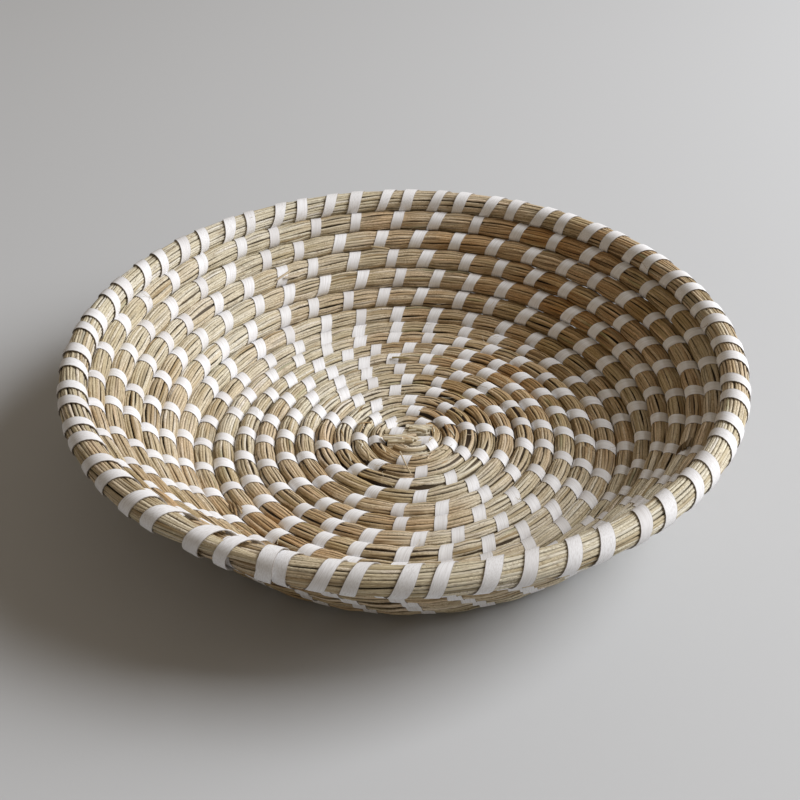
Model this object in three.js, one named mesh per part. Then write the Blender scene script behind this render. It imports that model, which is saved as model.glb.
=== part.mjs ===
// Shallow storage basket of coiled seagrass, in millimetres, +Z up.
// One coil of grass runs in a spiral from the middle of the floor to the rim. It is built of bundles
// laid end to end, and the last row, the rim, is lashed all round with one flat white strip.
// The origin is the middle of the spiral, on the surface that the basket stands on.
import * as THREE from "three";

// Driving dimensions of the basket's shape
const floorRadius = 93; // from the middle out to where the coil starts to climb
const bendLength = 14; // length of the curve between the floor and the wall, along the section
const wallSlope = THREE.MathUtils.degToRad(49.5); // lean of the wall, from level
const endRadius = 148.8; // from the middle to the centre of the rim row at its end, without its taper
const endAngle = THREE.MathUtils.degToRad(250); // where the coil ends, seen from above

// Driving dimensions of the grass coil
const pitchMiddle = 7.5; // width of one row at the middle
const pitchOuter = 10.4; // width of one row on the wall
const pitchGrowth = 95; // distance from the middle over which the rows grow
const rowGap = 0.5; // room between two rows, and between two pieces that touch
const rimGrass = 10.3; // thickness of the bare grass in the rim row
const floorFlat = 0.1; // share of the coil's thickness that is pressed flat on the underside
const tipRadius = 0.9; // from the middle to the centre of the thin tip where the coil starts
const tipRoom = 0.3; // room between that tip and the middle
const tailLength = 60; // length over which the coil's end tapers
const tailTip = 2.2; // thickness of the coil at its very end
const liftLength = 32; // length over which the coil thickens and stands off before the rim row
const stepsPerTurn = 24;
const tightTurns = 4; // turns at the middle that have half as many steps
const rowSides = 6;
const rimSides = 8;

// Driving dimensions of the bundles and the strip
const floorBundleCount = 5;
const wallBundleCount = 7;
const buttGap = 0.3; // room between the ends of two bundles
const stripWidth = 6.4; // measured along the rim
const stripThickness = 0.5;
const stripGap = 0.5; // room between the strip and the grass under it
const wrapSpacing = 15.2;

const grassMaterial = new THREE.MeshStandardMaterial({ color: 0xb39a6c, roughness: 0.85, metalness: 0 });
const stripMaterial = new THREE.MeshStandardMaterial({ color: 0xe9e7e2, roughness: 0.55, metalness: 0 });

// The section that the rows follow: level floor, bend, straight wall
const bendTurn = wallSlope / bendLength;
const bendRun = Math.sin(wallSlope) / bendTurn;

function slopeAt(distance) {
  return THREE.MathUtils.clamp((distance - floorRadius) * bendTurn, 0, wallSlope);
}

function sectionPoint(distance) {
  if (distance <= floorRadius) {
    return { radius: distance, height: 0 };
  }
  const slope = slopeAt(distance);
  const alongWall = Math.max(0, distance - floorRadius - bendLength);
  return {
    radius: floorRadius + Math.sin(slope) / bendTurn + alongWall * Math.cos(wallSlope),
    height: (1 - Math.cos(slope)) / bendTurn + alongWall * Math.sin(wallSlope),
  };
}

// How far along the section the coil has come after a number of turns
const growth = (pitchOuter - pitchMiddle) / pitchGrowth;
const grownTurns = Math.log(pitchOuter / pitchMiddle) / growth;

function turnsToReach(distance) {
  if (distance < pitchGrowth) {
    return Math.log(1 + (distance * growth) / pitchMiddle) / growth;
  }
  return grownTurns + (distance - pitchGrowth) / pitchOuter;
}

function distanceAfter(turns) {
  if (turns < grownTurns) {
    return (pitchMiddle / growth) * (Math.exp(turns * growth) - 1);
  }
  return pitchGrowth + (turns - grownTurns) * pitchOuter;
}

function pitchAt(distance) {
  return pitchMiddle + growth * Math.min(distance, pitchGrowth);
}

// The rim row stands off the row below it by the strip that passes between them
const rimRadius = rimGrass / 2;
const wallRadius = (pitchOuter - rowGap) / 2;
const stripReach = (stripGap + stripThickness) / Math.cos(Math.PI / rimSides);
const rimLift = wallRadius + rowGap + stripReach + rimRadius - pitchOuter;
const endDistance =
  floorRadius + bendLength + (endRadius - floorRadius - bendRun) / Math.cos(wallSlope) - rimLift;
const endTurns = turnsToReach(endDistance);
const rimStart = endTurns - 1;
const rimArc = 2 * Math.PI * endRadius;
const liftTurns = liftLength / rimArc;
const tailTurns = tailLength / rimArc;

// From 0 on the rows below to 1 on the rim row, which starts one turn before the coil's end
function rimShare(turns) {
  return THREE.MathUtils.smoothstep(turns, rimStart - liftTurns, rimStart);
}

function coilRadius(turns) {
  const distance = distanceAfter(turns);
  const plain = (pitchAt(distance) - rowGap) / 2;
  const tip = Math.min(plain, distance - tipRoom);
  const whole = THREE.MathUtils.lerp(tip, rimRadius, rimShare(turns));
  const tailShare = THREE.MathUtils.smoothstep(turns, endTurns - tailTurns, endTurns);
  return THREE.MathUtils.lerp(whole, tailTip / 2, tailShare);
}

// The rim row lies on the row below it, its tapered tail too
function coilDistance(turns) {
  if (turns < rimStart) {
    return distanceAfter(turns) + rimShare(turns) * rimLift;
  }
  const below = turns - 1;
  return coilDistance(below) + coilRadius(below) + rowGap + stripReach + coilRadius(turns);
}

// One ring of the coil: its centre, and the two directions of its section
const floorSection = pitchAt(floorRadius) - rowGap;
const floorLevel = floorSection * (0.5 - floorFlat);

function coilFrame(turns) {
  const distance = coilDistance(turns);
  const point = sectionPoint(distance);
  const slope = slopeAt(distance);
  const angle = endAngle + (turns - endTurns) * 2 * Math.PI;
  const outward = new THREE.Vector3(Math.cos(angle), Math.sin(angle), 0);
  const up = new THREE.Vector3(0, 0, 1);
  return {
    radius: coilRadius(turns),
    centre: outward.clone().multiplyScalar(point.radius).addScaledVector(up, point.height + floorLevel),
    along: outward.clone().multiplyScalar(Math.cos(slope)).addScaledVector(up, Math.sin(slope)),
    across: outward.clone().multiplyScalar(-Math.sin(slope)).addScaledVector(up, Math.cos(slope)),
  };
}

// A corner of every section points at each neighbouring row, the section is as tall as it is wide,
// and what would reach below the ground is pressed flat on it
function ringOf(frame, sides, offset = 0) {
  const corners = Array.from({ length: sides }, (_, index) => (index * 2 * Math.PI) / sides);
  const stretch = 1 / Math.max(...corners.map(Math.sin));
  const reach = frame.radius + offset;
  const ring = corners.map((corner) =>
    frame.centre
      .clone()
      .addScaledVector(frame.along, reach * Math.cos(corner))
      .addScaledVector(frame.across, reach * Math.sin(corner) * stretch));
  return ring.map((point, index) => {
    if (point.z >= 0) {
      return point;
    }
    const before = ring[(index + sides - 1) % sides];
    const after = ring[(index + 1) % sides];
    const higher = before.z > after.z ? before : after;
    return point.clone().lerp(higher, point.z / (point.z - higher.z));
  });
}

// The turns at which the coil has a ring, counted back from its end
const nearlyNoTurn = 1e-3;
const gridTurns = [endTurns];
const firstTurn = turnsToReach(tipRadius);
while (true) {
  const stepSize = (gridTurns[0] > tightTurns ? 1 : 2) / stepsPerTurn;
  if (gridTurns[0] - stepSize < firstTurn) {
    break;
  }
  gridTurns.unshift(gridTurns[0] - stepSize);
}
const coilStart = gridTurns[0];

// A ring anywhere on the coil, on the straight facets between two steps
function facetRing(turns, sides, offset = 0) {
  const later = Math.max(1, gridTurns.findIndex((grid) => grid >= turns));
  const [from, to] = [gridTurns[later - 1], gridTurns[later]];
  const before = ringOf(coilFrame(from), sides, offset);
  const after = ringOf(coilFrame(to), sides, offset);
  return before.map((point, index) => point.clone().lerp(after[index], (turns - from) / (to - from)));
}

// A closed skin over a row of rings, with a flat cap at each end
function skinOver(rings) {
  const sides = rings[0].length;
  const positions = rings.flat().flatMap((point) => point.toArray());
  const indices = [];
  for (let ring = 0; ring < rings.length - 1; ring += 1) {
    for (let side = 0; side < sides; side += 1) {
      const next = (side + 1) % sides;
      const here = ring * sides;
      const there = here + sides;
      indices.push(here + side, there + side, here + next);
      indices.push(here + next, there + side, there + next);
    }
  }
  const last = (rings.length - 1) * sides;
  for (let side = 1; side < sides - 1; side += 1) {
    indices.push(0, side, side + 1);
    indices.push(last, last + side + 1, last + side);
  }
  const geometry = new THREE.BufferGeometry();
  geometry.setAttribute("position", new THREE.Float32BufferAttribute(positions, 3));
  geometry.setIndex(indices);
  return geometry;
}

// One bundle of grass, from one place on the coil to another
function bundleRings(from, to, sides) {
  const between = gridTurns.filter((turns) => turns > from + nearlyNoTurn && turns < to - nearlyNoTurn);
  return [from, ...between, to].map((turns) => facetRing(turns, sides));
}

const basket = new THREE.Group();

function addPiece(name, geometry, material) {
  const piece = new THREE.Mesh(geometry, material);
  piece.name = name;
  geometry.computeVertexNormals();
  basket.add(piece);
}

function addBundle(name, from, to, sides) {
  addPiece(name, skinOver(bundleRings(from, to, sides)), grassMaterial);
}

// Length of the coil up to a number of turns, and the reverse
const lengthSteps = 2000;
const stepLength = (endTurns - coilStart) / lengthSteps;
const lengths = [0];
for (let index = 0; index < lengthSteps; index += 1) {
  const middle = coilStart + (index + 0.5) * stepLength;
  lengths.push(lengths[index] + 2 * Math.PI * sectionPoint(coilDistance(middle)).radius * stepLength);
}

function lengthAt(turns) {
  const place = (turns - coilStart) / stepLength;
  const index = Math.min(Math.floor(place), lengthSteps - 1);
  return THREE.MathUtils.lerp(lengths[index], lengths[index + 1], place - index);
}

function turnsAtLength(length) {
  const index = Math.max(0, lengths.findIndex((value) => value >= length) - 1);
  const share = (length - lengths[index]) / (lengths[index + 1] - lengths[index]);
  return coilStart + (index + share) * stepLength;
}

// Bundles of even length, numbered outwards from the middle
function layBundles(names, from, to) {
  const start = lengthAt(from);
  const share = (lengthAt(to) - start) / names.length;
  names.forEach((name, index) => {
    const head = from === coilStart && index === 0 ? start : start + index * share + buttGap / 2;
    const foot = start + (index + 1) * share - buttGap / 2;
    addBundle(name, turnsAtLength(head), turnsAtLength(foot), rowSides);
  });
}

function numbered(stem, count) {
  return Array.from({ length: count }, (_, index) => `${stem}_${index + 1}`);
}

const wallStart = turnsToReach(floorRadius);
layBundles(numbered("floor_bundle", floorBundleCount), coilStart, wallStart);
layBundles(numbered("wall_bundle", wallBundleCount), wallStart, rimStart);
addBundle("rim_bundle", rimStart + buttGap / 2 / rimArc, endTurns, rimSides);

// One unbroken strip wound round the rim row, over the top from the outside to the inside
const lashFrom = rimStart + stripWidth / 2 / rimArc;
const lashTo = endTurns - stripWidth / 2 / rimArc;
const wraps = Math.round(((lashTo - lashFrom) * rimArc) / wrapSpacing);

function lashingRings() {
  const halfWidth = stripWidth / 2 / rimArc;
  const inner = stripGap / Math.cos(Math.PI / rimSides);
  const rings = [];
  for (let step = 0; step <= wraps * rimSides; step += 1) {
    const middle = THREE.MathUtils.lerp(lashFrom, lashTo, step / (wraps * rimSides));
    const corner = step % rimSides;
    const edges = [middle - halfWidth, middle + halfWidth];
    const [nearLow, nearHigh] = edges.map((turns) => facetRing(turns, rimSides, inner)[corner]);
    const [farLow, farHigh] = edges.map((turns) => facetRing(turns, rimSides, stripReach)[corner]);
    rings.push([nearLow, nearHigh, farHigh, farLow]);
  }
  return rings;
}

const lashing = lashingRings();
addPiece("rim_lashing", skinOver(lashing), stripMaterial);

// The least gaps, measured on points of the surfaces
function leastGap(near, far) {
  const gaps = near.flatMap((point) => far.map((other) => point.distanceTo(other)));
  return Math.min(...gaps);
}

const placesPerStep = 5;

function facetPoints(turns, sides) {
  const apart = 1 / (placesPerStep * stepsPerTurn);
  const places = Array.from({ length: placesPerStep }, (_, index) => turns + index * apart);
  return places.filter((place) => place <= endTurns).flatMap((place) => facetRing(place, sides));
}

let coilGap = Infinity;
for (const turns of gridTurns) {
  for (const away of turns < 1 ? [0.5, 1] : [1]) {
    const sides = turns + away < rimStart ? rowSides : rimSides;
    if (turns + away < endTurns) {
      coilGap = Math.min(coilGap, leastGap(facetPoints(turns, rowSides), facetPoints(turns + away, sides)));
    }
  }
}
const wrapGaps = lashing.slice(rimSides).map((ring, index) => leastGap(ring, lashing[index]));
console.log(`turns of the coil ${endTurns.toFixed(2)}, its length ${lengthAt(endTurns).toFixed(0)} mm`);
console.log(`least gap of the coil to itself ${coilGap.toFixed(2)} mm`);
console.log(`wraps of the strip ${wraps}, its least gap to itself ${Math.min(...wrapGaps).toFixed(2)} mm`);

export default basket;
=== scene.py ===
# Shallow storage basket of coiled seagrass, in metres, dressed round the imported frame.
# Every row is a bundle of dried stems, held by flat white strips. Stems and stitches are made by
# node trees from guides that follow the same coil as the frame.
import math
import random

import bpy
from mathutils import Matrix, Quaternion, Vector


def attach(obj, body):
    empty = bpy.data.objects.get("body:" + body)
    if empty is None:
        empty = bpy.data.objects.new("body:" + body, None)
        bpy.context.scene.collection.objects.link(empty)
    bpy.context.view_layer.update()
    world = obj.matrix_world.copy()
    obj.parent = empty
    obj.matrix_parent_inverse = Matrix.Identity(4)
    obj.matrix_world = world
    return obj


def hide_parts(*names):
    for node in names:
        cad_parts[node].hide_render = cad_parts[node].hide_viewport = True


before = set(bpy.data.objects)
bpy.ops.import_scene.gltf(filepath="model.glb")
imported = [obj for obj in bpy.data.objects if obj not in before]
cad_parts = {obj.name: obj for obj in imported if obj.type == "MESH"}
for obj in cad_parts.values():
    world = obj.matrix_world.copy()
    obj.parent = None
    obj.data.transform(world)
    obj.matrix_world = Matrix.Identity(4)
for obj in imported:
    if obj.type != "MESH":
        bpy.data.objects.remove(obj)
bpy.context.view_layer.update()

MM = 0.001
TURN = 2 * math.pi

# The coil, with the frame's own driving dimensions
FLOOR_RADIUS = 93 * MM
BEND_LENGTH = 14 * MM
WALL_SLOPE = math.radians(49.5)
END_RADIUS = 148.8 * MM
END_ANGLE = math.radians(250)
PITCH_MIDDLE = 7.5 * MM
PITCH_OUTER = 10.4 * MM
PITCH_GROWTH = 95 * MM
ROW_GAP = 0.5 * MM
RIM_GRASS = 10.3 * MM
FLOOR_FLAT = 0.1
TIP_RADIUS = 0.9 * MM
TIP_ROOM = 0.3 * MM
TAIL_LENGTH = 60 * MM
TAIL_TIP = 2.2 * MM
LIFT_LENGTH = 32 * MM
STRIP_REACH = 1.08 * MM
FLOOR_BUNDLES = 5
WALL_BUNDLES = 7

# The grass and the strips
STEM_WIDTH = 1.6 * MM
STEM_FLATNESS = 0.7
STEM_SPACING = 1.25 * MM
FEWEST_STEMS = 7
GUIDE_STEP = 2.0 * MM
LEAST_GUIDE_STEP = 0.5 * MM
TIGHT_GUIDE_SHARE = 0.2
OVERLAP = 0.3 * MM
PINCH = 0.45 * MM
CORE_LOWEST = 1.3 * MM
STEM_LOWEST = 0.15 * MM
STRIP_LOWEST = 0.1 * MM
WALL_SETTLE = 1.2 * MM
SETTLE_START = FLOOR_RADIUS * 0.7
SETTLE_END = FLOOR_RADIUS * 1.1
RIM_SETTLE = 1.0 * MM
RIM_EASE = 0.1
STRIP_WIDTH = 6.2 * MM
STRIP_THICKNESS = 0.35 * MM
STRIP_LEAN = 0.36
CRISP_EDGE = math.radians(40)
RIM_WRAPS = 61
FOLDED_TURNS = 0.98
LOOSE_WANDER = 3.0
TIGHT_WANDER = 1.2
LOOSE_TURNS = 7

# How much of the grass is brown: everywhere, and more towards two sides, but less at the rim. Towards
# the back right, where the inside of the wall faces away from the window, this brown is partly the
# grass's own and partly painted shade
BROWN_LEAST = 0.05
BROWN_AND_SHADE_BACK_RIGHT = 0.73
BROWN_FRONT_LEFT = 0.55
BACK_RIGHT_ANGLE = math.radians(40)
FRONT_LEFT_ANGLE = math.radians(232)
BACK_RIGHT_FALL = 1.3
FRONT_LEFT_FALL = 2
RIM_PALER = 0.2

# The outside of the bend and of the low wall stands out: where that starts, is full, falls and ends
FOOT_BULGE = 3.4 * MM
BULGE_START = FLOOR_RADIUS - 5 * MM
BULGE_FULL = FLOOR_RADIUS + 7 * MM
BULGE_FALL = FLOOR_RADIUS + 12 * MM
BULGE_END = FLOOR_RADIUS + 68 * MM

# Stitches in each turn of the coil, counted from the middle out to the row below the rim
STITCHES_EACH_TURN = (
    2.6, 5.1, 7.28, 10.09, 12.13, 16.68, 21.04, 24.43, 28.27, 29.39,
    32.06, 31.97, 34.93, 36.53, 37.53, 38.39, 38.65,
)
STITCHES_AT_START = -0.4
STITCH_SLIP = 0.09
STITCH_END_ROOM = 0.004


def clamp(value, low=0.0, high=1.0):
    return max(low, min(high, value))


def mix(start, end, share):
    return start + (end - start) * share


def smooth(value, start, end):
    share = clamp((value - start) / (end - start))
    return share * share * (3 - 2 * share)


# The section that the rows follow: level floor, bend, straight wall
BEND_TURN = WALL_SLOPE / BEND_LENGTH
BEND_RUN = math.sin(WALL_SLOPE) / BEND_TURN


def slope_at(distance):
    return clamp((distance - FLOOR_RADIUS) * BEND_TURN, 0, WALL_SLOPE)


def section_point(distance):
    """Radius and height of a place on the section."""
    if distance <= FLOOR_RADIUS:
        return distance, 0.0
    slope = slope_at(distance)
    along_wall = max(0.0, distance - FLOOR_RADIUS - BEND_LENGTH)
    radius = FLOOR_RADIUS + math.sin(slope) / BEND_TURN + along_wall * math.cos(WALL_SLOPE)
    height = (1 - math.cos(slope)) / BEND_TURN + along_wall * math.sin(WALL_SLOPE)
    return radius, height


# How far along the section the coil has come after a number of turns
GROWTH = (PITCH_OUTER - PITCH_MIDDLE) / PITCH_GROWTH
GROWN_TURNS = math.log(PITCH_OUTER / PITCH_MIDDLE) / GROWTH


def turns_to_reach(distance):
    if distance < PITCH_GROWTH:
        return math.log(1 + distance * GROWTH / PITCH_MIDDLE) / GROWTH
    return GROWN_TURNS + (distance - PITCH_GROWTH) / PITCH_OUTER


def distance_after(turns):
    if turns < GROWN_TURNS:
        return PITCH_MIDDLE / GROWTH * (math.exp(turns * GROWTH) - 1)
    return PITCH_GROWTH + (turns - GROWN_TURNS) * PITCH_OUTER


def pitch_at(distance):
    return PITCH_MIDDLE + GROWTH * min(distance, PITCH_GROWTH)


RIM_RADIUS = RIM_GRASS / 2
WALL_RADIUS = (PITCH_OUTER - ROW_GAP) / 2
RIM_LIFT = WALL_RADIUS + ROW_GAP + STRIP_REACH + RIM_RADIUS - PITCH_OUTER
WALL_LENGTH = (END_RADIUS - FLOOR_RADIUS - BEND_RUN) / math.cos(WALL_SLOPE)
END_DISTANCE = FLOOR_RADIUS + BEND_LENGTH + WALL_LENGTH - RIM_LIFT
END_TURNS = turns_to_reach(END_DISTANCE)
RIM_START = END_TURNS - 1
RIM_ARC = TURN * END_RADIUS
FIRST_TURN = turns_to_reach(TIP_RADIUS)
VISIBLE_START = FIRST_TURN + FOLDED_TURNS
WALL_START = turns_to_reach(FLOOR_RADIUS)
FLOOR_LEVEL = (pitch_at(FLOOR_RADIUS) - ROW_GAP) * (0.5 - FLOOR_FLAT)


def rim_share(turns):
    return smooth(turns, RIM_START - LIFT_LENGTH / RIM_ARC, RIM_START)


def coil_radius(turns):
    """Radius of the frame's coil, which leaves half the row gap free on each side."""
    distance = distance_after(turns)
    plain = (pitch_at(distance) - ROW_GAP) / 2
    tip = min(plain, distance - TIP_ROOM)
    whole = mix(tip, RIM_RADIUS, rim_share(turns))
    return mix(whole, TAIL_TIP / 2, smooth(turns, END_TURNS - TAIL_LENGTH / RIM_ARC, END_TURNS))


def coil_distance(turns):
    if turns < RIM_START:
        return distance_after(turns) + rim_share(turns) * RIM_LIFT
    below = turns - 1
    return coil_distance(below) + coil_radius(below) + ROW_GAP + STRIP_REACH + coil_radius(turns)


def browning_at(angle):
    """Share of brown grass at an angle round the basket; towards the back right it is partly painted
    shade.
    """
    back_right = max(0.0, math.cos(angle - BACK_RIGHT_ANGLE)) ** BACK_RIGHT_FALL
    front_left = max(0.0, math.cos(angle - FRONT_LEFT_ANGLE)) ** FRONT_LEFT_FALL
    return BROWN_LEAST + BROWN_AND_SHADE_BACK_RIGHT * back_right + BROWN_FRONT_LEFT * front_left


def bulge_at(distance):
    rise = smooth(distance, BULGE_START, BULGE_FULL)
    return FOOT_BULGE * rise * (1 - smooth(distance, BULGE_FALL, BULGE_END))


class Frame:
    """A point of the section at an angle round the basket, and its directions."""

    def __init__(self, angle, distance):
        radius, height = section_point(distance)
        slope = slope_at(distance)
        outward = Vector((math.cos(angle), math.sin(angle), 0))
        upward = Vector((0, 0, 1))
        self.reach = radius
        self.centre = outward * radius + upward * (height + FLOOR_LEVEL)
        self.along = outward * math.cos(slope) + upward * math.sin(slope)
        self.across = upward * math.cos(slope) - outward * math.sin(slope)
        self.ahead = self.across.cross(self.along)
        self.browning = browning_at(angle)


class Place(Frame):
    """A place on the coil's centre line."""

    def __init__(self, turns):
        distance = coil_distance(turns)
        distance -= WALL_SETTLE * smooth(distance, SETTLE_START, SETTLE_END)
        at_rim = smooth(turns, RIM_START - RIM_EASE, RIM_START)
        distance -= RIM_SETTLE * at_rim
        super().__init__(END_ANGLE + (turns - END_TURNS) * TURN, distance)
        self.turns = turns
        self.radius = coil_radius(turns) + ROW_GAP / 2 + OVERLAP
        self.run = length_at(turns)
        self.from_stitch = from_stitch(self.run)
        self.bulge = bulge_at(distance)
        self.browning -= RIM_PALER * at_rim


# Length of the coil up to a number of turns, and the reverse
LENGTH_STEPS = 4000
STEP_TURNS = (END_TURNS - FIRST_TURN) / LENGTH_STEPS
lengths = [0.0]
for step in range(LENGTH_STEPS):
    middle = FIRST_TURN + (step + 0.5) * STEP_TURNS
    lengths.append(lengths[-1] + TURN * section_point(coil_distance(middle))[0] * STEP_TURNS)


def length_at(turns):
    place = clamp((turns - FIRST_TURN) / STEP_TURNS, 0, LENGTH_STEPS)
    index = min(int(place), LENGTH_STEPS - 1)
    return mix(lengths[index], lengths[index + 1], place - index)


def turns_at_length(length):
    low, high = 0, LENGTH_STEPS
    while high - low > 1:
        half = (low + high) // 2
        if lengths[half] > length:
            high = half
        else:
            low = half
    share = (length - lengths[low]) / (lengths[high] - lengths[low])
    return FIRST_TURN + (low + share) * STEP_TURNS


# Where the stitches sit, in turns of the coil
FIRST_ROW = (END_TURNS - END_ANGLE / TURN) % 1
stitch_luck = random.Random(3)


def stitch_places():
    places = []
    counted = STITCHES_AT_START
    for row, count in enumerate(STITCHES_EACH_TURN):
        row_start = FIRST_ROW + row
        for number in range(math.ceil(counted), math.ceil(counted + count)):
            slip = stitch_luck.uniform(-STITCH_SLIP, STITCH_SLIP)
            places.append(row_start + (number + slip - counted) / count)
        counted += count
    return [place for place in places if VISIBLE_START < place < RIM_START - STITCH_END_ROOM]


stitches = stitch_places()
stitch_lengths = [length_at(turns) for turns in stitches]


def from_stitch(length):
    """Signed length from the nearest stitch."""
    return min((length - other for other in stitch_lengths), key=abs)


# One function that adds a node, sets it and fills its sockets with values or links
def add(tree, kind, sockets=None, **settings):
    made = tree.nodes.new(kind)
    for name, value in settings.items():
        setattr(made, name, value)
    for name, value in (sockets or {}).items():
        if isinstance(value, bpy.types.NodeSocket):
            tree.links.new(value, made.inputs[name])
        else:
            made.inputs[name].default_value = value
    return made


# Short names for the nodes that the trees use again and again
def math_of(tree, operation, *values):
    return add(tree, "ShaderNodeMath", dict(enumerate(values)), operation=operation).outputs["Value"]


def plus(tree, first, second):
    return math_of(tree, "ADD", first, second)


def minus(tree, first, second):
    return math_of(tree, "SUBTRACT", first, second)


def times(tree, first, second):
    return math_of(tree, "MULTIPLY", first, second)


def line_of(tree, value, start, slope):
    """A start plus a slope times a value."""
    return plus(tree, start, times(tree, value, slope))


def scaled(tree, vector, factor):
    made = add(tree, "ShaderNodeVectorMath", {"Vector": vector, "Scale": factor}, operation="SCALE")
    return made.outputs["Vector"]


def sum_of(tree, total, *vectors):
    for vector in vectors:
        made = add(tree, "ShaderNodeVectorMath", {0: total, 1: vector}, operation="ADD")
        total = made.outputs["Vector"]
    return total


def combined(tree, x=0.0, y=0.0, z=0.0):
    return add(tree, "ShaderNodeCombineXYZ", {"X": x, "Y": y, "Z": z}).outputs["Vector"]


def parts_of(tree, vector):
    """The outputs X, Y and Z of a vector."""
    return add(tree, "ShaderNodeSeparateXYZ", {"Vector": vector}).outputs


def noise_at(tree, vector, detail, scale=1.0):
    sockets = {"Vector": vector, "Scale": scale, "Detail": detail}
    return add(tree, "ShaderNodeTexNoise", sockets).outputs["Fac"]


def ranged(tree, value, start, end, low=0.0, high=1.0, easing="LINEAR"):
    """Low up to the start, high from the end on, and between the two in between."""
    made = add(tree, "ShaderNodeMapRange", {
        "Value": value, "From Min": start, "From Max": end, "To Min": low, "To Max": high,
    }, interpolation_type=easing)
    return made.outputs["Result"]


def position_of(tree):
    return add(tree, "GeometryNodeInputPosition").outputs["Position"]


def named(tree, name, data_type="FLOAT"):
    made = add(tree, "GeometryNodeInputNamedAttribute", {"Name": name}, data_type=data_type)
    return made.outputs["Attribute"]


def tagged(tree, geometry, name, value, data_type="FLOAT"):
    """Geometry whose points carry a value under a name."""
    made = add(tree, "GeometryNodeStoreNamedAttribute", {
        "Geometry": geometry, "Name": name, "Value": value,
    }, data_type=data_type, domain="POINT")
    return made.outputs["Geometry"]


def moved(tree, geometry, **sockets):
    """Geometry with its points at a Position, or shifted by an Offset."""
    made = add(tree, "GeometryNodeSetPosition", {"Geometry": geometry, **sockets})
    return made.outputs["Geometry"]


def kept_above(tree, geometry, lowest):
    """Presses up to a height whatever hangs lower."""
    place = parts_of(tree, position_of(tree))
    height = math_of(tree, "MAXIMUM", place["Z"], lowest)
    return moved(tree, geometry, Position=combined(tree, place["X"], place["Y"], height))


def curve_of(tree, mesh):
    return add(tree, "GeometryNodeMeshToCurve", {"Mesh": mesh}).outputs["Curve"]


def circle_of(tree, corners):
    made = add(tree, "GeometryNodeCurvePrimitiveCircle", {"Resolution": corners, "Radius": 1.0})
    return made.outputs["Curve"]


def tube_of(tree, curve, profile, size):
    made = add(tree, "GeometryNodeCurveToMesh", {
        "Curve": curve, "Profile Curve": profile, "Scale": size, "Fill Caps": True,
    })
    return made.outputs["Mesh"]


def new_tree(name, inputs):
    """An empty geometry tree with its named inputs, and the node that gives them."""
    tree = bpy.data.node_groups.new(name, "GeometryNodeTree")
    tree.interface.new_socket(name="Geometry", in_out="INPUT", socket_type="NodeSocketGeometry")
    for label, kind, value in inputs:
        socket = tree.interface.new_socket(name=label, in_out="INPUT", socket_type=kind)
        if value is not None:
            socket.default_value = value
    tree.interface.new_socket(name="Geometry", in_out="OUTPUT", socket_type="NodeSocketGeometry")
    return tree, tree.nodes.new("NodeGroupInput").outputs


def finish_tree(tree, geometry, material):
    """Smooth shading, plain mesh and the material at the end of a tree."""
    soft = add(tree, "GeometryNodeSetShadeSmooth", {"Geometry": geometry}).outputs["Geometry"]
    real = add(tree, "GeometryNodeRealizeInstances", {"Geometry": soft}).outputs["Geometry"]
    painted = add(tree, "GeometryNodeSetMaterial", {"Geometry": real, "Material": material})
    add(tree, "NodeGroupOutput", {"Geometry": painted.outputs["Geometry"]})
    return tree


def colour(hex_value):
    """An sRGB hex colour as linear red, green, blue and alpha."""
    parts = [int(hex_value[index:index + 2], 16) / 255 for index in (1, 3, 5)]
    linear = [part / 12.92 if part <= 0.04045 else ((part + 0.055) / 1.055) ** 2.4 for part in parts]
    return (*linear, 1.0)


def new_material(name):
    material = bpy.data.materials.new(name)
    material.use_nodes = True
    tree = material.node_tree
    tree.nodes.clear()
    return material, tree


def show_surface(tree, sockets):
    surface = add(tree, "ShaderNodeBsdfPrincipled", sockets)
    add(tree, "ShaderNodeOutputMaterial", {"Surface": surface.outputs["BSDF"]})


def ramp_of(tree, factor, stops):
    """A colour ramp with a stop for each pair of place and hex colour."""
    made = add(tree, "ShaderNodeValToRGB", {"Fac": factor})
    elements = made.color_ramp.elements
    while len(elements) < len(stops):
        elements.new(0.5)
    for element, (place, hex_value) in zip(elements, stops):
        element.position = place
        element.color = colour(hex_value)
    return made.outputs["Color"]


def blended(tree, factor, first, second, blend_type="MIX"):
    """Two colours mixed, through the colour sockets of the node, which have only numbers."""
    made = add(tree, "ShaderNodeMix", {
        "Factor": factor, 6: first, 7: second,
    }, data_type="RGBA", blend_type=blend_type)
    return made.outputs[2]


def bump_of(tree, height, strength, distance):
    sockets = {"Height": height, "Strength": strength, "Distance": distance}
    return add(tree, "ShaderNodeBump", sockets).outputs["Normal"]


def carried(tree, name):
    """A value that the points of a piece carry."""
    return add(tree, "ShaderNodeAttribute", attribute_name=name).outputs["Fac"]


# How often a pattern changes in a metre of stem or strip, and across its width
GROOVES_ALONG = 45.0
GROOVES_ACROSS = 3.5
BLOTCHES_ALONG = 60.0
BLOTCHES_ACROSS = 0.6
PATCHES_ALONG = 14.0
HUES_ALONG = 17.0
FIBRES_ALONG = 90.0
FIBRES_ACROSS = 9.0
# How far each stem and strip is from the next in a pattern
STEM_SHIFT = 91.0
STEM_HUE_SHIFT = 1.2
BAND_SHIFT = 57.0
# A share of tint and of shade on any stem, and how much more on a brown one
TINT_LEAST, TINT_BROWN = 0.12, 0.65
EDGE_SHADE, EDGE_SHADE_BROWN = 0.36, 0.6
DIP_SHADE, DIP_SHADE_BROWN = 0.8, 0.3
# Where across a stem the shade of its edge begins and is full
EDGE_START, EDGE_FULL = 0.7, 0.98


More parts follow.
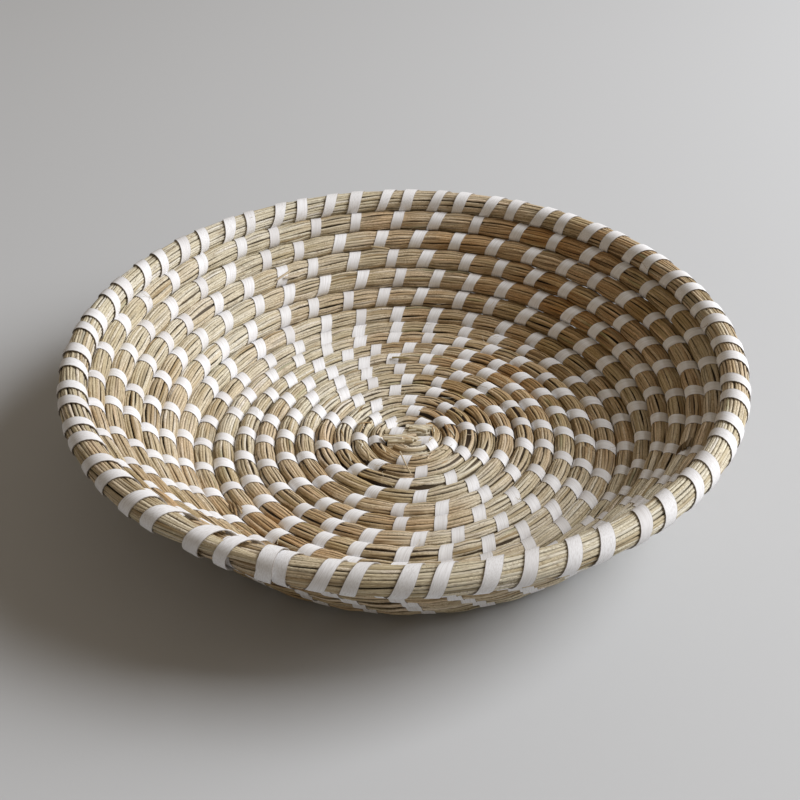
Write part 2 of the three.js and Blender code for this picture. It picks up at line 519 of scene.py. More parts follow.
# Dried seagrass: split stems, air dried, matt straw with browner and greener stems among them,
# fine lengthwise grooves and dull brown blotches
def dried_seagrass():
    material, tree = new_material("dried_seagrass")
    stem = carried(tree, "stem")
    run = carried(tree, "run")
    lateral = carried(tree, "lateral")
    shift = times(tree, stem, STEM_SHIFT)

    # Pale and brown stems, in patches along a row; the brown at the back right is partly painted shade
    pale = ramp_of(tree, stem, (
        (0.0, "#b8a682"), (0.2, "#d6cbad"), (0.5, "#e9e2cb"),
        (0.75, "#f1ecda"), (0.92, "#f6f2e8"), (1.0, "#d0ceb1"),
    ))
    brown = ramp_of(tree, stem, (
        (0.0, "#6f5029"), (0.2, "#95723e"), (0.5, "#b08a50"),
        (0.75, "#c6a065"), (0.92, "#dabc87"), (1.0, "#968752"),
    ))
    patch = noise_at(tree, combined(tree, times(tree, run, PATCHES_ALONG)), detail=2.0)
    browning = plus(tree, carried(tree, "browning"), minus(tree, patch, 0.5))
    plain = blended(tree, browning, pale, brown)

    # Greener and redder stretches, which show more on brown stems
    hue_at = combined(tree, times(tree, run, HUES_ALONG), times(tree, stem, STEM_HUE_SHIFT), 8.0)
    hue = noise_at(tree, hue_at, detail=2.0)
    tint = ramp_of(tree, hue, ((0.36, "#eceed8"), (0.5, "#ffffff"), (0.64, "#ffe6cc")))
    tinted = blended(tree, line_of(tree, browning, TINT_LEAST, TINT_BROWN), plain, tint, "MULTIPLY")

    # Brown blotches and dark grooves
    blotch_at = combined(
        tree, times(tree, run, BLOTCHES_ALONG), shift, times(tree, lateral, BLOTCHES_ACROSS),
    )
    wear = ranged(tree, noise_at(tree, blotch_at, detail=4.0), 0.57, 0.74, 0.0, 0.6)
    worn = blended(tree, wear, tinted, colour("#7a5a33"))
    groove_at = combined(
        tree, times(tree, run, GROOVES_ALONG), times(tree, lateral, GROOVES_ACROSS), shift,
    )
    groove = noise_at(tree, groove_at, detail=3.0)
    streaked = blended(tree, ranged(tree, groove, 0.38, 0.62, 0.45, 0.0), worn, colour("#6c4f29"))

    # Painted shade where a stem dips and at its edges, where it meets the next one; the dark core gets
    # it in full
    from_middle = math_of(tree, "ABSOLUTE", lateral)
    edge = ranged(tree, from_middle, EDGE_START, EDGE_FULL, easing="SMOOTHSTEP")
    edge_shade = times(tree, edge, line_of(tree, browning, EDGE_SHADE, EDGE_SHADE_BROWN))
    dip_shade_full = line_of(tree, browning, DIP_SHADE, DIP_SHADE_BROWN)
    dip_shade = times(tree, carried(tree, "depth"), dip_shade_full)
    painted_shade = math_of(tree, "MAXIMUM", dip_shade, edge_shade)
    show_surface(tree, {
        "Base Color": blended(tree, painted_shade, streaked, colour("#26180b")),
        "Roughness": 0.62,
        "IOR": 1.45,
        "Specular IOR Level": 0.35,
        "Normal": bump_of(tree, groove, 0.55, 0.25 * MM),
    })
    return material


# Bleached palm leaf strip: flat, cut and bleached, off-white with faint lengthwise fibres
def bleached_strip():
    material, tree = new_material("bleached_palm_strip")
    band = carried(tree, "band")
    side = carried(tree, "side")
    fibre_at = combined(
        tree,
        times(tree, side, FIBRES_ACROSS),
        times(tree, carried(tree, "wound"), FIBRES_ALONG),
        times(tree, band, BAND_SHIFT),
    )
    fibre = noise_at(tree, fibre_at, detail=3.0)
    plain = ramp_of(tree, band, ((0.0, "#dfdddd"), (0.35, "#ececed"), (1.0, "#f2f2f4")))
    lined = blended(tree, ranged(tree, fibre, 0.35, 0.6, 0.4, 0.0), plain, colour("#c3bebb"))
    # Painted shade: a thin dark line along both edges of the strip
    strip_edge_shade = ranged(tree, math_of(tree, "ABSOLUTE", side), 0.94, 1.0, 0.0, 0.7)
    show_surface(tree, {
        "Base Color": blended(tree, strip_edge_shade, lined, colour("#6d5c48")),
        "Roughness": 0.6,
        "IOR": 1.48,
        "Specular IOR Level": 0.25,
        "Normal": bump_of(tree, fibre, 0.35, 0.12 * MM),
    })
    return material


seagrass = dried_seagrass()
strip = bleached_strip()

# How often a stem's course, depth, thickness and colour change in a metre, and where in the noise
WANDER_RATE, WANDER_SEED = 22.0, 0.0
DIP_RATE, DIP_SEED = 30.0, 40.0
THICK_RATE, THICK_SEED = 15.0, 80.0
CHANCE_RATE, CHANCE_SEED = 14.0, 120.0
# Noise goes from one of these to the other, and a stem begins to dip and is down at the next two
NOISE_LOW, NOISE_HIGH = 0.28, 0.72
DIP_START, DIP_FULL = 0.55, 0.7
DIP_DEPTH = 0.35
# Half a stem's width, as a share of the stem width: the least, and how much more at most
HALF_LEAST, HALF_MORE = 0.3, 0.4
HALF_OF_COIL = 0.4
# How far from a stitch's middle the pinch begins to fade and is gone, in strip widths
PINCH_FULL, PINCH_GONE = 0.62, 1.4
# Lean and width of a stitch, as shares: the least, and how much more at most
LEAN_LEAST, LEAN_MORE = 0.7, 0.6
WIDTH_LEAST, WIDTH_MORE = 0.88, 0.22
STRIP_CROWN = 0.08 * MM
STRIP_WAVES = 400.0
STEM_APART = 7.31
STEM_CORNERS = 5
CORE_CORNERS = 8
CORE_SHARE = 0.86
CORE_FOLLOW = 0.45


def grass_tree():
    """Lays stems side by side round a guide, lets them wander, dip and twist, and fills the core with a
    dark tube of painted shade.
    """
    tree, given = new_tree("grass_stems", (
        ("Stems", "NodeSocketInt", 18),
        ("Stem Width", "NodeSocketFloat", STEM_WIDTH),
        ("Flatness", "NodeSocketFloat", STEM_FLATNESS),
        ("Wander", "NodeSocketFloat", 1.5),
        ("Dip", "NodeSocketFloat", 0.3 * MM),
        ("Twist", "NodeSocketFloat", 9.0),
        ("Pinch", "NodeSocketFloat", PINCH),
        ("Strip Width", "NodeSocketFloat", STRIP_WIDTH),
        ("Strip Lean", "NodeSocketFloat", STRIP_LEAN),
        ("Seed", "NodeSocketFloat", 1.0),
        ("Material", "NodeSocketMaterial", None),
    ))
    guide = curve_of(tree, given["Geometry"])
    copies = add(tree, "GeometryNodeDuplicateElements", {
        "Geometry": guide, "Amount": given["Stems"],
    }, domain="SPLINE")
    along = named(tree, "along", "FLOAT_VECTOR")
    across = named(tree, "across", "FLOAT_VECTOR")
    bulge = named(tree, "bulge")
    coil = named(tree, "coil_radius")
    run = named(tree, "run")
    stem_apart = times(tree, copies.outputs["Duplicate Index"], STEM_APART)

    def chance_of(rate, seed):
        """Noise from 0 to 1 that changes slowly along a stem and from stem to stem."""
        at = combined(tree, times(tree, run, rate), stem_apart, plus(tree, given["Seed"], seed))
        return noise_at(tree, at, detail=1.0)

    # Where each stem lies round the guide
    stray = times(tree, minus(tree, chance_of(WANDER_RATE, WANDER_SEED), 0.5), given["Wander"])
    place = plus(tree, copies.outputs["Duplicate Index"], times(tree, stray, 2.0))
    angle = times(tree, place, math_of(tree, "DIVIDE", TURN, given["Stems"]))
    angle = plus(tree, angle, times(tree, run, given["Twist"]))
    side_share = math_of(tree, "COSINE", angle)
    up_share = math_of(tree, "SINE", angle)

    # How thick it is, and how far from the guide: less where it dips and under a stitch
    dip = ranged(tree, chance_of(DIP_RATE, DIP_SEED), DIP_START, DIP_FULL, easing="SMOOTHSTEP")
    half_share = line_of(tree, chance_of(THICK_RATE, THICK_SEED), HALF_LEAST, HALF_MORE)
    half = times(tree, given["Stem Width"], half_share)
    half = math_of(tree, "MINIMUM", half, times(tree, coil, HALF_OF_COIL))
    slant = times(tree, side_share, times(tree, coil, given["Strip Lean"]))
    off = math_of(tree, "ABSOLUTE", plus(tree, named(tree, "from_stitch"), slant))
    widths_off = math_of(tree, "DIVIDE", off, given["Strip Width"])
    pinch = ranged(tree, widths_off, PINCH_FULL, PINCH_GONE, given["Pinch"], 0.0, "SMOOTHSTEP")
    sunk = plus(tree, pinch, times(tree, dip, given["Dip"]))
    height = minus(tree, coil, times(tree, half, given["Flatness"]))
    height = math_of(tree, "MAXIMUM", minus(tree, height, sunk), 0.0)

    # The outside of a bulging row stands out further
    sideways = scaled(tree, along, times(tree, side_share, height))
    pushed = times(tree, math_of(tree, "MINIMUM", up_share, 0.0), bulge)
    upwards = scaled(tree, across, plus(tree, times(tree, up_share, height), pushed))
    stems = moved(tree, copies.outputs["Geometry"], Offset=sum_of(tree, sideways, upwards))
    stems = kept_above(tree, stems, half)
    own = ranged(tree, chance_of(CHANCE_RATE, CHANCE_SEED), NOISE_LOW, NOISE_HIGH)
    stems = tagged(tree, stems, "stem", own)
    # How far a stem dips, which the material paints as shade
    stems = tagged(tree, stems, "depth", times(tree, dip, DIP_DEPTH))
    facing = sum_of(tree, scaled(tree, along, side_share), scaled(tree, across, up_share))
    stems = add(tree, "GeometryNodeSetCurveNormal", {
        "Curve": stems, "Normal": facing,
    }, mode="FREE").outputs["Curve"]
    profile = add(tree, "GeometryNodeTransform", {
        "Geometry": circle_of(tree, STEM_CORNERS),
        "Scale": combined(tree, given["Flatness"], 1.0, 1.0),
    }).outputs["Geometry"]
    profile = tagged(tree, profile, "lateral", parts_of(tree, position_of(tree))["Y"])
    stems = tube_of(tree, stems, profile, half)

    # A dark core behind the stems: painted shade for the inside of the bundle, seen through the gaps
    core = tagged(tree, guide, "depth", 1.0)
    core = moved(tree, core, Offset=scaled(tree, across, times(tree, bulge, -CORE_FOLLOW)))
    core = tube_of(tree, core, circle_of(tree, CORE_CORNERS), times(tree, coil, CORE_SHARE))
    joined = add(tree, "GeometryNodeJoinGeometry")
    tree.links.new(kept_above(tree, core, CORE_LOWEST), joined.inputs[0])
    tree.links.new(stems, joined.inputs[0])
    pressed = kept_above(tree, joined.outputs["Geometry"], STEM_LOWEST)
    return finish_tree(tree, pressed, given["Material"])


def stitch_tree():
    """Puts a band round the coil at each point, leaning, and lifted a little on one edge."""
    tree, given = new_tree("strip_stitches", (
        ("Half Width", "NodeSocketFloat", STRIP_WIDTH / 2),
        ("Lean", "NodeSocketFloat", STRIP_LEAN),
        ("Lift", "NodeSocketFloat", 0.2 * MM),
        ("Unevenness", "NodeSocketFloat", 0.25 * MM),
        ("Seed", "NodeSocketInt", 4),
        ("Material", "NodeSocketMaterial", None),
    ))
    band = add(tree, "GeometryNodeMeshCylinder", {
        "Vertices": 24, "Side Segments": 3, "Radius": 1.0, "Depth": 2.0,
    }, fill_type="NONE").outputs["Mesh"]
    band = tagged(tree, band, "unit", position_of(tree), "FLOAT_VECTOR")
    chance = add(tree, "FunctionNodeRandomValue", {"Seed": given["Seed"]}, data_type="FLOAT").outputs[1]
    points = tagged(tree, given["Geometry"], "band", chance)
    points = tagged(tree, points, "centre", position_of(tree), "FLOAT_VECTOR")
    placed = add(tree, "GeometryNodeInstanceOnPoints", {"Points": points, "Instance": band})
    bands = add(tree, "GeometryNodeRealizeInstances", {"Geometry": placed.outputs["Instances"]})

    # A point of a band: X and Y round the coil, Z from one edge of the strip to the other
    unit_at = named(tree, "unit", "FLOAT_VECTOR")
    unit = parts_of(tree, unit_at)
    luck = named(tree, "band")
    coil = named(tree, "coil_radius")
    centre = named(tree, "centre", "FLOAT_VECTOR")
    crown = times(tree, math_of(tree, "ABSOLUTE", unit["Z"]), -STRIP_CROWN)
    proud = times(tree, math_of(tree, "MAXIMUM", unit["Z"], 0.0), given["Lift"])
    reach = plus(tree, plus(tree, coil, crown), proud)
    own_lean = times(tree, given["Lean"], line_of(tree, luck, LEAN_LEAST, LEAN_MORE))
    half = times(tree, given["Half Width"], line_of(tree, luck, WIDTH_LEAST, WIDTH_MORE))
    wave_at = sum_of(tree, unit_at, scaled(tree, centre, STRIP_WAVES))
    wave = noise_at(tree, wave_at, detail=1.0, scale=1.1)
    uneven = times(tree, minus(tree, wave, 0.5), times(tree, given["Unevenness"], 4.0))
    slant = times(tree, times(tree, unit["X"], coil), own_lean)
    step = plus(tree, minus(tree, times(tree, unit["Z"], half), slant), uneven)
    pushed = times(tree, math_of(tree, "MINIMUM", unit["Y"], 0.0), named(tree, "bulge"))
    height = plus(tree, times(tree, unit["Y"], reach), pushed)
    place = sum_of(
        tree,
        scaled(tree, named(tree, "along", "FLOAT_VECTOR"), times(tree, unit["X"], reach)),
        scaled(tree, named(tree, "across", "FLOAT_VECTOR"), height),
        scaled(tree, named(tree, "ahead", "FLOAT_VECTOR"), step),
        centre,
    )
    laid = kept_above(tree, moved(tree, bands.outputs["Geometry"], Position=place), STRIP_LOWEST)
    round_coil = math_of(tree, "ARCTAN2", unit["Y"], unit["X"])
    laid = tagged(tree, laid, "wound", times(tree, round_coil, coil))
    laid = tagged(tree, laid, "side", unit["Z"])
    return finish_tree(tree, laid, given["Material"])


def add_object(name, mesh):
    made = bpy.data.objects.new(name, mesh)
    bpy.context.scene.collection.objects.link(made)
    return made


def guide_mesh(name, places, with_edges, radii):
    """Points on the coil that carry the section's directions for a node tree."""
    mesh = bpy.data.meshes.new(name)
    edges = [(index, index + 1) for index in range(len(places) - 1) if with_edges]
    mesh.from_pydata([place.centre for place in places], edges, [])
    for label in ("along", "across", "ahead"):
        layer = mesh.attributes.new(label, "FLOAT_VECTOR", "POINT")
        layer.data.foreach_set("vector", [part for place in places for part in getattr(place, label)])
    mesh.attributes.new("coil_radius", "FLOAT", "POINT").data.foreach_set("value", radii)
    for label in ("run", "from_stitch", "browning", "bulge"):
        layer = mesh.attributes.new(label, "FLOAT", "POINT")
        layer.data.foreach_set("value", [getattr(place, label) for place in places])
    return mesh


def grown(name, guide, tree, values, thickness=None):
    """A plain mesh object made by a node tree from a guide."""
    base = add_object(name + "_guide", guide)
    modifier = base.modifiers.new("nodes", "NODES")
    modifier.node_group = tree
    for item in tree.interface.items_tree:
        if item.in_out == "INPUT" and item.name in values:
            modifier[item.identifier] = values[item.name]
    if thickness:
        solid = base.modifiers.new("thickness", "SOLIDIFY")
        solid.thickness = thickness
        solid.offset = 1
    evaluated = base.evaluated_get(bpy.context.evaluated_depsgraph_get())
    mesh = bpy.data.meshes.new_from_object(evaluated)
    mesh.name = name
    if thickness:
        mesh.set_sharp_from_angle(angle=CRISP_EDGE)
    bpy.data.objects.remove(base)
    return add_object(name, mesh)


def finish_piece(piece, slot, *nodes):
    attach(piece, "root")
    if nodes:
        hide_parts(*nodes)


def guide_places(start, end):
    """Places at even steps of length, closer together where the coil turns tightly."""
    places = [Place(start)]
    while True:
        last = places[-1]
        step = min(GUIDE_STEP, max(LEAST_GUIDE_STEP, last.reach * TIGHT_GUIDE_SHARE))
        turns = last.turns + step / (TURN * last.reach)
        if turns >= end:
            break
        places.append(Place(turns))
    places.append(Place(end))
    return places


grass = grass_tree()


def add_bundle(name, start, end):
    places = guide_places(start, end)
    radii = [place.radius for place in places]
    middle = radii[len(radii) // 2]
    piece = grown(name + "_stems", guide_mesh(name, places, True, radii), grass, {
        "Stems": max(FEWEST_STEMS, round(TURN * (middle - STEM_WIDTH / 2) / STEM_SPACING)),
        "Stem Width": STEM_WIDTH,
        "Wander": mix(LOOSE_WANDER, TIGHT_WANDER, smooth(start, 0, LOOSE_TURNS)),
        "Material": seagrass,
    })
    finish_piece(piece, "seagrass", name)


def lay_bundles(stem, count, start, end):
    first = length_at(start)
    share = (length_at(end) - first) / count
    for index in range(count):
        add_bundle(
            f"{stem}_{index + 1}",
            max(VISIBLE_START, turns_at_length(first + index * share)),
            turns_at_length(first + (index + 1) * share),
        )


lay_bundles("floor_bundle", FLOOR_BUNDLES, FIRST_TURN, WALL_START)
lay_bundles("wall_bundle", WALL_BUNDLES, WALL_START, RIM_START)
add_bundle("rim_bundle", RIM_START, END_TURNS)


# The coil starts with two short straight bundles side by side, a little higher than the rows
CORE_RISE = 1.2 * MM
CORE_STEPS = 14
CORE_TURNED = 1.5 * MM
CORE_THINNER = 0.2
CORE_BROWNING = 0.1


class CorePlace:
    """A place on one of the straight bundles, which lie nearly along X."""

    def __init__(self, core, x):
        share = (x - core.start) / (core.end - core.start)
        self.centre = Vector((x, core.y + CORE_TURNED * (share - 0.5), FLOOR_LEVEL + CORE_RISE))
        self.along = Vector((0, -1, 0))
        self.across = Vector((0, 0, 1))
        self.ahead = Vector((1, 0, 0))
        self.radius = core.radius * (1 - CORE_THINNER * abs(2 * share - 1) ** 3)
        self.run = x + core.y
        self.from_stitch = x - core.strip
        self.bulge = 0.0
        self.browning = CORE_BROWNING


class Core:
    """One straight bundle: its ends along X, its place in Y, its radius and where its strip lies."""

    def __init__(self, start, end, y, radius, strip_place):
        self.start, self.end, self.y = start * MM, end * MM, y * MM
        self.radius, self.strip = radius * MM, strip_place * MM

    def bare_stretch(self):
        """The longer stretch beside the strip, and a little beyond the bundle's end."""
        if self.strip - self.start < self.end - self.strip:
            return self.strip + STRIP_WIDTH / 2, self.end + 2 * MM
        return self.start - 2 * MM, self.strip - STRIP_WIDTH / 2

    def places(self):
        shares = [step / CORE_STEPS for step in range(CORE_STEPS + 1)]
        return [CorePlace(self, mix(self.start, self.end, share)) for share in shares]


back_core = Core(-11.5, 9.5, 2.9, 4.3, -5.5)
front_core = Core(-10.5, 10.5, -4.3, 4.1, 6.5)
for number, core in enumerate((back_core, front_core)):
    core_places = core.places()
    core_name = f"coil_start_{number + 1}_stems"
    core_guide = guide_mesh(core_name, core_places, True, [place.radius for place in core_places])
    core_piece = grown(core_name, core_guide, grass, {
        "Stems": 24,
        "Stem Width": STEM_WIDTH,
        "Wander": 2.2,
        "Twist": 30.0,
        "Seed": 5.0 + number,
        "Material": seagrass,
    })
    finish_piece(core_piece, "seagrass")

# The strip stitches of the floor and of the wall
STITCH_PROUD = 0.12 * MM
bands = stitch_tree()


def add_stitches(name, places):
    radii = [place.radius - PINCH + STITCH_PROUD for place in places]
    guide = guide_mesh(name, places, False, radii)
    piece = grown(name, guide, bands, {"Material": strip}, STRIP_THICKNESS)
    finish_piece(piece, "strip")


core_stitches = [CorePlace(core, core.strip) for core in (back_core, front_core)]
floor_stitches = [Place(turns) for turns in stitches if turns < WALL_START]
add_stitches("floor_stitches", core_stitches + floor_stitches)
add_stitches("wall_stitches", [Place(turns) for turns in stitches if turns >= WALL_START])

# One strip wound round the rim row, over the top from the outside to the inside
LASHING_STEPS = 20
TAIL_COVER = 1.2 * MM
TAIL_LIFT = 0.55 * MM
LASHING_PROUD = 0.15 * MM
# From one edge of the strip to the other: the place across it, and millimetres it stands off
LASHING_SECTION = ((-1.0, 0.0), (-0.5, 0.1), (0.0, 0.14), (0.5, 0.2), (1.0, 0.22))
# The wraps lie in loose pairs, slip a little, and lag behind at the back of the rim
PAIR_SHIFT = 0.09
WRAP_SLIP = 0.05
BACK_SHIFT = 0.54
# The lag grows and fades between these wraps
LAG_GROWS = (2, 14)
LAG_FADES = (RIM_WRAPS - 15, RIM_WRAPS - 3)
# Waves in the width and in the tone of the lashing: how much, and how fast over the wraps
BROAD_WAVE, BROAD_RATE = 0.08, 2.7
FINE_WAVE, FINE_RATE = 0.05, 11.3
TONE_MIDDLE, TONE_WAVE, TONE_RATE = 0.55, 0.4, 1.9
rim_luck = random.Random(8)
rim_slips = [
    rim_luck.uniform(-WRAP_SLIP, WRAP_SLIP) + (PAIR_SHIFT if wrap % 2 else -PAIR_SHIFT)
    for wrap in range(RIM_WRAPS + 1)
]


def lashing_turns(wraps_done):
    """Place of the lashing on the coil."""
    whole = math.floor(wraps_done)
    slips = [rim_slips[clamp(whole + step, 0, RIM_WRAPS)] for step in (0, 1)]
    uneven = mix(*slips, smooth(wraps_done - whole, 0, 1))
    uneven += BACK_SHIFT * smooth(wraps_done, *LAG_GROWS) * (1 - smooth(wraps_done, *LAG_FADES))
    start = RIM_START + STRIP_WIDTH / 2 / RIM_ARC
    end = END_TURNS - TAIL_COVER / RIM_ARC
    return clamp(mix(start, end, (wraps_done + uneven) / RIM_WRAPS), start, end)


def lashed_size(place):
    """Half height and half width that the lashing takes in: at the tail also the row below it."""
    tail = TAIL_LENGTH / RIM_ARC
    share = smooth(place.turns, END_TURNS - tail, END_TURNS - tail / 2)
    below = Place(place.turns - 1).radius
    tall = mix(place.radius, place.radius + below + STRIP_REACH, share)
    wide = mix(place.radius, below, share)
    return tall + TAIL_LIFT * share, wide + TAIL_LIFT * share


def add_lashing():
    points, faces, band, side, wound = [], [], [], [], []
    steps = (RIM_WRAPS + 1) * LASHING_STEPS
    ring = len(LASHING_SECTION) * 2
    length = 0.0
    for step in range(steps + 1):
        wraps_done = step / LASHING_STEPS - 0.5
        turns = lashing_turns(wraps_done)
        corner = wraps_done * TURN
        broad = 1 + BROAD_WAVE * math.sin(wraps_done * BROAD_RATE)
        widths = broad + FINE_WAVE * math.sin(wraps_done * FINE_RATE)
        tone = TONE_MIDDLE + TONE_WAVE * math.sin(wraps_done * TONE_RATE)
        for layer in (0, 1):
            order = LASHING_SECTION if layer == 0 else reversed(LASHING_SECTION)
            for across_strip, height in order:
                place = Place(turns + across_strip * widths * STRIP_WIDTH / 2 / RIM_ARC)
                proud = LASHING_PROUD + height * MM + (STRIP_THICKNESS if layer == 0 else 0)
                tall, wide = lashed_size(place)
                middle = place.centre - place.along * (tall - place.radius)
                sideways = place.along * math.cos(corner) * (tall + proud)
                points.append(middle + sideways + place.across * math.sin(corner) * (wide + proud))
                side.append(across_strip)
                band.append(tone)
                wound.append(length)
        length += TURN * RIM_RADIUS / LASHING_STEPS
    for step in range(steps):
        for corner in range(ring):
            next_corner = (corner + 1) % ring
            here, there = step * ring, (step + 1) * ring
            faces.append((here + corner, here + next_corner, there + next_corner, there + corner))
    faces.append(tuple(reversed(range(ring))))
    faces.append(tuple(range(steps * ring, (steps + 1) * ring)))
    mesh = bpy.data.meshes.new("rim_lashing_strip")
    mesh.from_pydata(points, [], faces)
    for label, values in (("band", band), ("side", side), ("wound", wound)):
        mesh.attributes.new(label, "FLOAT", "POINT").data.foreach_set("value", values)
    mesh.materials.append(strip)
    mesh.shade_smooth()
    mesh.set_sharp_from_angle(angle=CRISP_EDGE)
    piece = add_object("rim_lashing_strip", mesh)
    finish_piece(piece, "strip", "rim_lashing")


add_lashing()

# Short loose stems: the frayed start of the coil, ends that stand out of rows, and fine hairs
STRAW_STEPS = 5
STRAW_FLATTER = 0.6
STRAWS_APART = 0.05
FRAYED_STRAWS = 30
TORN_ENDS = 30
TORN_TURNS = 3
TORN_CLEAR = 6 * MM
KNOT_STRAWS = 5
HAIRS = 60
straw_luck = random.Random(12)


def straw_tree():
    tree, given = new_tree("loose_straws", (("Material", "NodeSocketMaterial", None),))
    across = times(tree, parts_of(tree, position_of(tree))["Y"], STRAW_FLATTER)
    profile = tagged(tree, circle_of(tree, STEM_CORNERS), "lateral", across)
    guide = curve_of(tree, given["Geometry"])
    straws = tube_of(tree, guide, profile, named(tree, "half_width"))
    return finish_tree(tree, straws, given["Material"])


class Straw:
    """One loose stem: its foot, direction, length, half width and how far its ends rise or dip."""

    def __init__(self, foot, ahead, up, length, half_width, rise, browning, depth=0.0):
        self.foot, self.ahead, self.up = foot, ahead, up
        self.length, self.half_width, self.rise = length, half_width, rise
        self.browning, self.depth = browning, depth
        self.stem = straw_luck.random()


def straw_from(
    frame_there, turn, length, height, half_width=0.55, rise=-0.4, browning=0.4, depth=0.0,
):
    """A straw above a point of the section, turned away from the row; sizes in millimetres."""
    swing = math.radians(turn)
    ahead = frame_there.ahead * math.cos(swing) + frame_there.along * math.sin(swing)
    foot = frame_there.centre + frame_there.across * height * MM
    sizes = (length * MM, half_width * MM, rise * MM)
    return Straw(foot, ahead, frame_there.across, *sizes, browning, depth)


def straw_on(degrees, distance, *shape, **looks):
    return straw_from(Frame(math.radians(degrees), distance * MM), *shape, **looks)


def frayed_centre():
    straws = []
    for index in range(FRAYED_STRAWS):
        side = straw_luck.uniform(-1, 1)
        core = straw_luck.choice((back_core, front_core))
        bare_start, bare_end = core.bare_stretch()
        length = straw_luck.uniform(5, 12) * MM
        foot = Vector((
            straw_luck.uniform(bare_start + length / 2, bare_end - length / 2),
            core.y + side * core.radius * 0.6,
            FLOOR_LEVEL + CORE_RISE + (core.radius + 0.1 * MM) * (1 - 0.25 * side ** 2),
        ))
        swing = math.radians(straw_luck.gauss(-3, 9))
        ahead = Vector((math.cos(swing), math.sin(swing), straw_luck.uniform(-0.08, 0.08)))
        straws.append(Straw(
            foot, ahead, Vector((0, 0, 1)), length, straw_luck.uniform(0.55, 0.95) * MM,
            straw_luck.uniform(-0.8, 0.3) * MM, straw_luck.uniform(-0.3, 0.5),
        ))
    return straws


def lay_straws(name, straws):
    points, edges = [], []
    values = {"half_width": [], "stem": [], "run": [], "depth": [], "browning": []}
    for number, straw in enumerate(straws):
        first = len(points)
        for step in range(STRAW_STEPS + 1):
            share = step / STRAW_STEPS * 2 - 1
            forward = share * straw.length / 2
            points.append(straw.foot + straw.ahead * forward + straw.up * (straw.rise * share ** 2))
            if step:
                edges.append((first + step - 1, first + step))
            values["half_width"].append(straw.half_width)
            values["stem"].append(straw.stem)
            values["run"].append(number * STRAWS_APART + forward)
            values["depth"].append(straw.depth)
            values["browning"].append(straw.browning)
    mesh = bpy.data.meshes.new(name)
    mesh.from_pydata(points, edges, [])
    for label, numbers in values.items():
        mesh.attributes.new(label, "FLOAT", "POINT").data.foreach_set("value", numbers)
    finish_piece(grown(name, mesh, straw_tree(), {"Material": seagrass}), "seagrass")


def torn_ends():
    """Ends torn out of the innermost rows, between the strips."""
    straws = []
    while len(straws) < TORN_ENDS:
        place = Place(straw_luck.uniform(VISIBLE_START, VISIBLE_START + TORN_TURNS))
        if abs(place.from_stitch) > TORN_CLEAR:
            straws.append(straw_from(
                place, straw_luck.gauss(0, 20), straw_luck.uniform(4, 7), place.radius / MM - 0.2,
                half_width=0.4, rise=-0.5, browning=straw_luck.uniform(-0.2, 0.7),
            ))
    return straws


def stray_ends():
    """Ends that stand out of single rows: degrees, distance along the section, turn, length, height."""
    straws = [
        straw_on(265, 24, 68, 17, 5.6, half_width=0.35, rise=0.6),
        straw_on(97, 141, 12, 10, 5.8),
        straw_on(123, 136, -14, 9, 5.8),
        straw_on(121, 134, 9, 8, 5.9, browning=0.2),
        straw_on(94, 62, 10, 9, 5.3, browning=0.8),
    ]
    for index in range(KNOT_STRAWS):
        straws.append(straw_on(
            334.5 + index * 0.3, 142.5 + index * 1.1, straw_luck.gauss(4, 6), 6, 5.2,
            half_width=0.7, browning=0.8, depth=0.65,
        ))
    for index in range(KNOT_STRAWS):
        straws.append(straw_on(
            214 + index % 2 * 1.5, 90 + index, straw_luck.gauss(10, 9), 6, 4.9,
            half_width=0.5, browning=0.7, depth=0.3,
        ))
    return straws


def fine_hairs():
    """Thin fibres that stand off the rows here and there."""
    straws = []
    for _ in range(HAIRS):
        degrees = straw_luck.uniform(0, 360)
        distance = straw_luck.uniform(20, 172)
        straws.append(straw_on(
            degrees, distance, straw_luck.uniform(-80, 80), straw_luck.uniform(3, 7), 5.6,
            half_width=0.09, rise=straw_luck.uniform(0.4, 1.4), browning=0.1,
        ))
    return straws


lay_straws("loose_straws", frayed_centre() + torn_ends() + stray_ends() + fine_hairs())

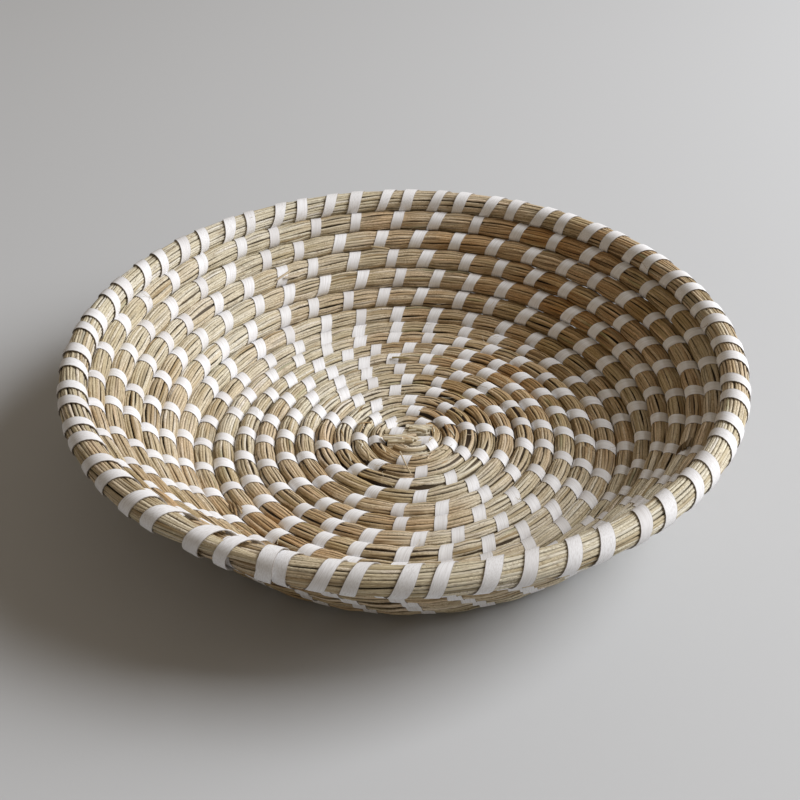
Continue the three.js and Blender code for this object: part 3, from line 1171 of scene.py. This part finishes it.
# Plain pale floor of smooth, matt plaster
FLOOR_HALF = 4.0
floor_mesh = bpy.data.meshes.new("floor")
corner_signs = ((-1, -1), (1, -1), (1, 1), (-1, 1))
floor_corners = [(x * FLOOR_HALF, y * FLOOR_HALF, 0) for x, y in corner_signs]
floor_mesh.from_pydata(floor_corners, [], [(0, 1, 2, 3)])
floor = add_object("floor", floor_mesh)
floor_material, floor_tree = new_material("pale_plaster_floor")
show_surface(floor_tree, {"Base Color": colour("#c3c5c7"), "Roughness": 0.8})
floor_mesh.materials.append(floor_material)

# Camera at the photograph's viewing angle
CAMERA_DISTANCE = 560 * MM
CAMERA_RISE = math.radians(36.1)
CAMERA_ROLL = math.radians(-0.44)
TARGET = Vector((0, 0, 29.1 * MM))
camera_data = bpy.data.cameras.new("camera")
camera_data.lens = 55.0
camera_data.sensor_width = 36
camera_data.shift_x = -0.012
camera_data.shift_y = -0.0031
camera_data.clip_start = 0.01
camera = add_object("camera", camera_data)
camera_side = Vector((0, -math.cos(CAMERA_RISE), math.sin(CAMERA_RISE)))
camera.location = TARGET + CAMERA_DISTANCE * camera_side
camera_turn = camera_side.to_track_quat("Z", "Y") @ Quaternion((0, 0, 1), CAMERA_ROLL)
camera.rotation_euler = camera_turn.to_euler()
bpy.context.scene.camera = camera


# Soft daylight from a large window on the right, a little behind, and a weak fill
WINDOW_AZIMUTH = math.radians(82)
WINDOW_RISE = math.radians(37)
WINDOW_DISTANCE = 2.2
window_data = bpy.data.lights.new("window", "AREA")
window_data.shape = "SQUARE"
window_data.size = 1.3
window_data.energy = 66
window_data.color = colour("#fbfcff")[:3]
window = add_object("window", window_data)
away = Vector((
    math.sin(WINDOW_AZIMUTH) * math.cos(WINDOW_RISE),
    math.cos(WINDOW_AZIMUTH) * math.cos(WINDOW_RISE),
    math.sin(WINDOW_RISE),
))
window.location = away * WINDOW_DISTANCE
window.rotation_euler = (-away).to_track_quat("-Z", "Y").to_euler()
world = bpy.data.worlds.new("studio")
world.use_nodes = True
sky = world.node_tree.nodes["Background"].inputs
sky["Color"].default_value = colour("#f2e1cb")
sky["Strength"].default_value = 0.247
bpy.context.scene.world = world
bpy.context.scene.view_settings.view_transform = "Standard"
